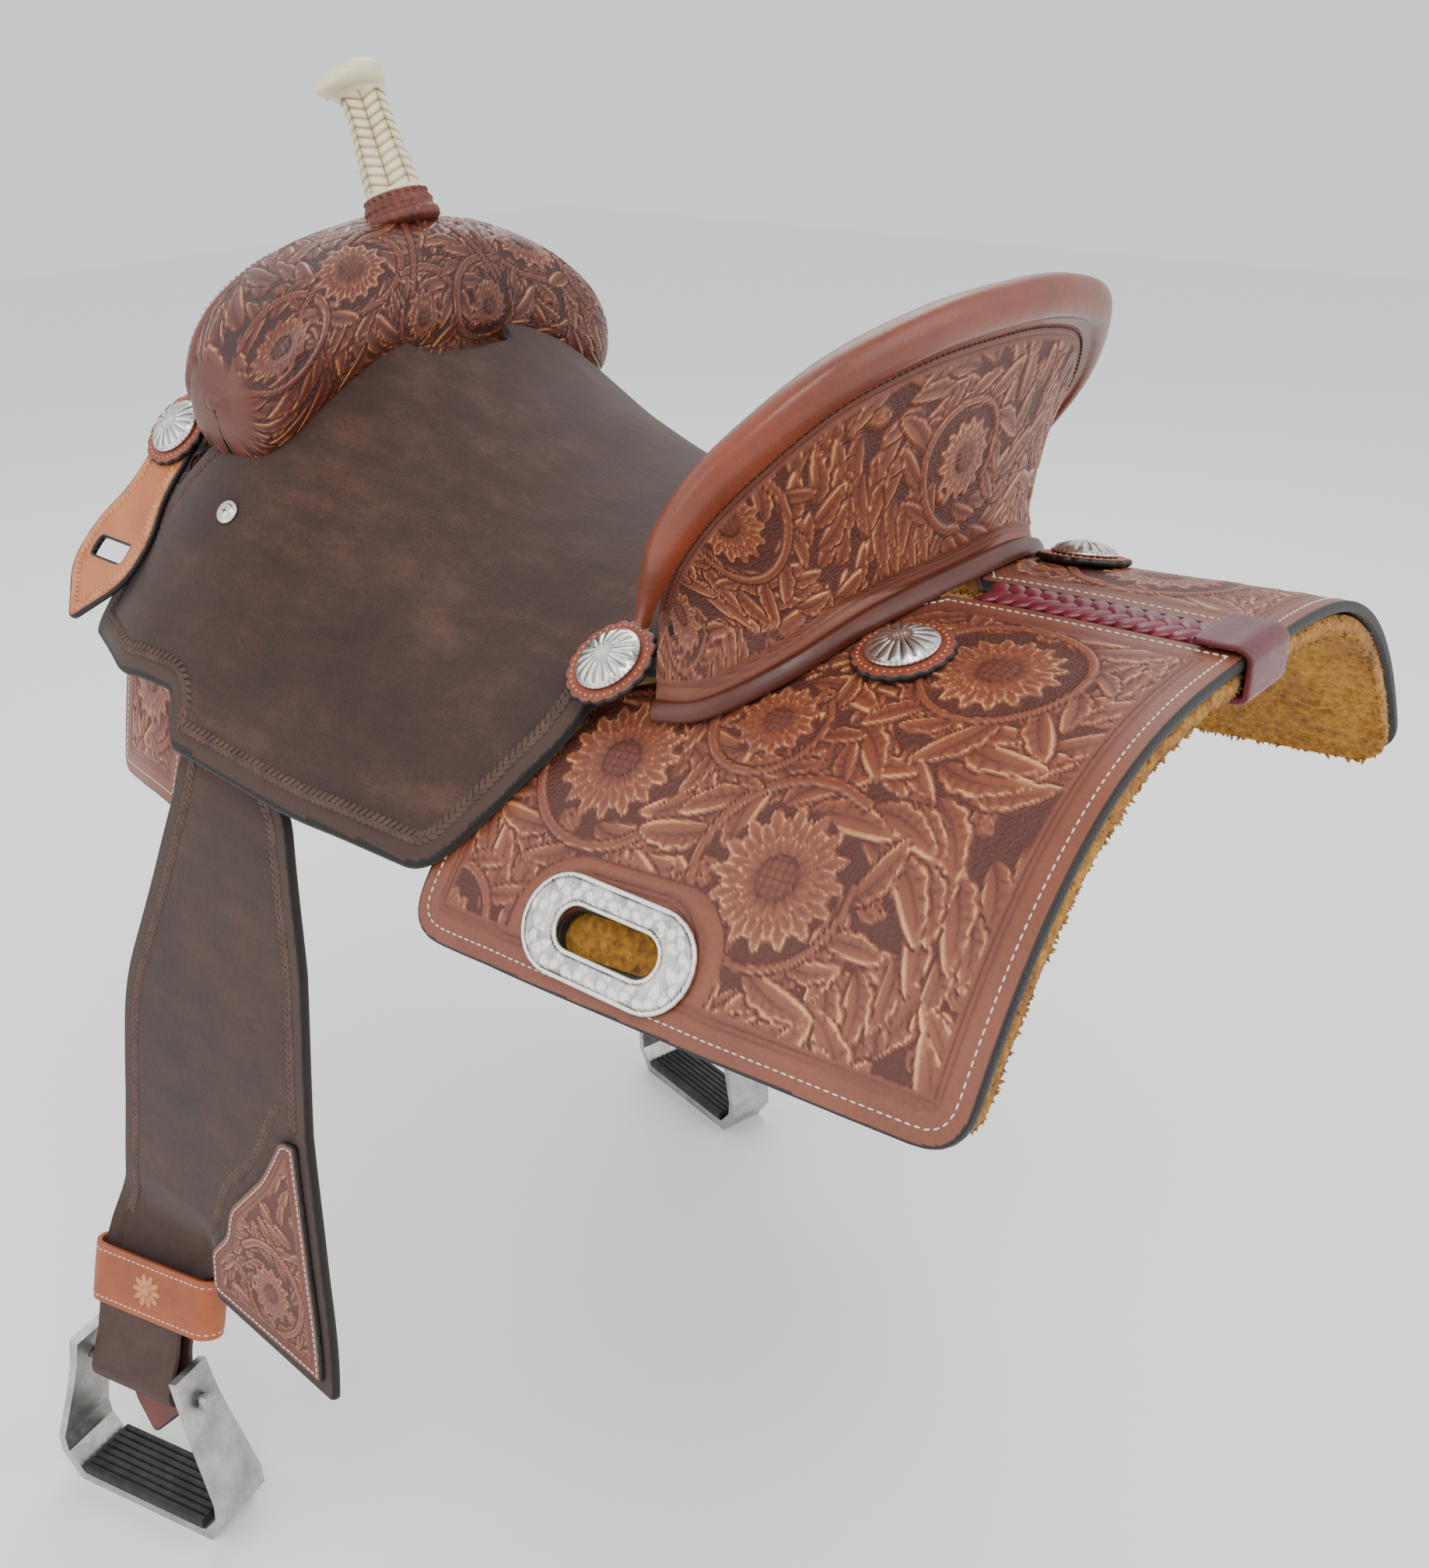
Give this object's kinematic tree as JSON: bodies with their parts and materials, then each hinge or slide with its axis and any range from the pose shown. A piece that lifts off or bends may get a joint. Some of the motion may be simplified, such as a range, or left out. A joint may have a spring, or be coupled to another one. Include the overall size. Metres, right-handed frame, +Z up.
{
  "type": "western saddle",
  "caption": "Western barrel saddle with a braided horn, high cantle, tooled skirts on fleece, rigging plates, and fenders with stirrups that swing on each side.",
  "frame": {"origin": "on the centre plane, in the gullet channel between the skirts, in the middle of the part that rests on the horse's back", "axes": "+X to the near (left) side, -Y to the front, +Z up; the saddle is mirror-symmetric about X = 0"},
  "size_m": [0.706, 0.7076, 0.9738],
  "materials": {
    "tooled_leather": "carved, stained mahogany brown with lighter antiqued high spots, waxed",
    "roughout_leather": "dark brown, flesh side out, napped",
    "roll_leather": "smooth orange tan, waxed",
    "keeper_leather": "light tan, smooth, stamped",
    "fleece": "golden synthetic wool pile",
    "lacing": "crimson, glossy, laced",
    "rawhide": "cream, braided, varnished",
    "wood": "bare",
    "steel": "bright",
    "silver": "engraved, polished",
    "aluminium": "satin",
    "rubber": "ribbed, black"
  },
  "bodies": {
    "saddle": {"skirt_near": "tooled_leather", "skirt_off": "tooled_leather", "fleece_lining_near": "fleece", "fleece_lining_off": "fleece", "rear_rigging_plate_near": "silver", "rear_rigging_plate_off": "silver", "tree_bar_near": "wood", "tree_bar_off": "wood", "rosette_front_near": "tooled_leather", "rosette_front_off": "tooled_leather", "concho_front_near": "silver", "concho_front_off": "silver", "rosette_middle_near": "tooled_leather", "rosette_middle_off": "tooled_leather", "concho_middle_near": "silver", "concho_middle_off": "silver", "rosette_rear_near": "tooled_leather", "rosette_rear_off": "tooled_leather", "concho_rear_near": "silver", "concho_rear_off": "silver", "jockey_screw_near": "steel", "jockey_screw_off": "steel", "rear_loop": "lacing", "rear_lacing": "lacing", "fork_core": "wood", "fork_cover": "tooled_leather", "fork_binding": "tooled_leather", "horn_core": "steel", "horn_wrap": "rawhide", "horn_collar": "tooled_leather", "ground_seat": "wood", "cantle_back_cover": "tooled_leather", "seat_leather": "roughout_leather", "cantle_roll": "roll_leather", "cantle_welt": "tooled_leather", "cantle_core": "wood"},
    "keeper_near": {"latigo_keeper_near": "keeper_leather"},
    "fender_near": {"fender_near": "roughout_leather", "fender_patch_near": "tooled_leather", "stirrup_leather_near": "roughout_leather", "blevins_buckle_near": "steel", "stirrup_loop_near": "roughout_leather", "strap_tail_near": "tooled_leather", "hobble_strap_near": "roll_leather"},
    "stirrup_near": {"stirrup_near": "aluminium", "stirrup_bolt_near": "steel", "stirrup_tread_near": "rubber"},
    "keeper_off": {"latigo_keeper_off": "keeper_leather"},
    "fender_off": {"fender_off": "roughout_leather", "fender_patch_off": "tooled_leather", "stirrup_leather_off": "roughout_leather", "blevins_buckle_off": "steel", "stirrup_loop_off": "roughout_leather", "strap_tail_off": "tooled_leather", "hobble_strap_off": "roll_leather"},
    "stirrup_off": {"stirrup_off": "aluminium", "stirrup_bolt_off": "steel", "stirrup_tread_off": "rubber"}
  },
  "joints": [
    {"name": "fender_swing_near", "type": "hinge", "parent": "saddle", "child": "fender_near", "pos_m": [0.184, -0.2055, -0.022], "axis": [0.8944, 0, 0.4472], "range_deg": [-30, 8]},
    {"name": "stirrup_swing_near", "type": "hinge", "parent": "fender_near", "child": "stirrup_near", "pos_m": [0.314, -0.243, -0.585], "axis": [-0.225, 0.9744, 0], "range_deg": [-40, 40]},
    {"name": "keeper_turn_near", "type": "hinge", "parent": "saddle", "child": "keeper_near", "pos_m": [0.1356, -0.28441, 0.05403], "axis": [0.7166, -0.0408, 0.6963], "range_deg": [-25, 0]},
    {"name": "fender_swing_off", "type": "hinge", "parent": "saddle", "child": "fender_off", "pos_m": [-0.184, -0.2055, -0.022], "axis": [0.8944, 0, -0.4472], "range_deg": [-30, 8]},
    {"name": "stirrup_swing_off", "type": "hinge", "parent": "fender_off", "child": "stirrup_off", "pos_m": [-0.314, -0.243, -0.585], "axis": [-0.225, -0.9744, 0], "range_deg": [-40, 40]},
    {"name": "keeper_turn_off", "type": "hinge", "parent": "saddle", "child": "keeper_off", "pos_m": [-0.1356, -0.28441, 0.05403], "axis": [0.7166, 0.0408, -0.6963], "range_deg": [-25, 0]}
  ]
}
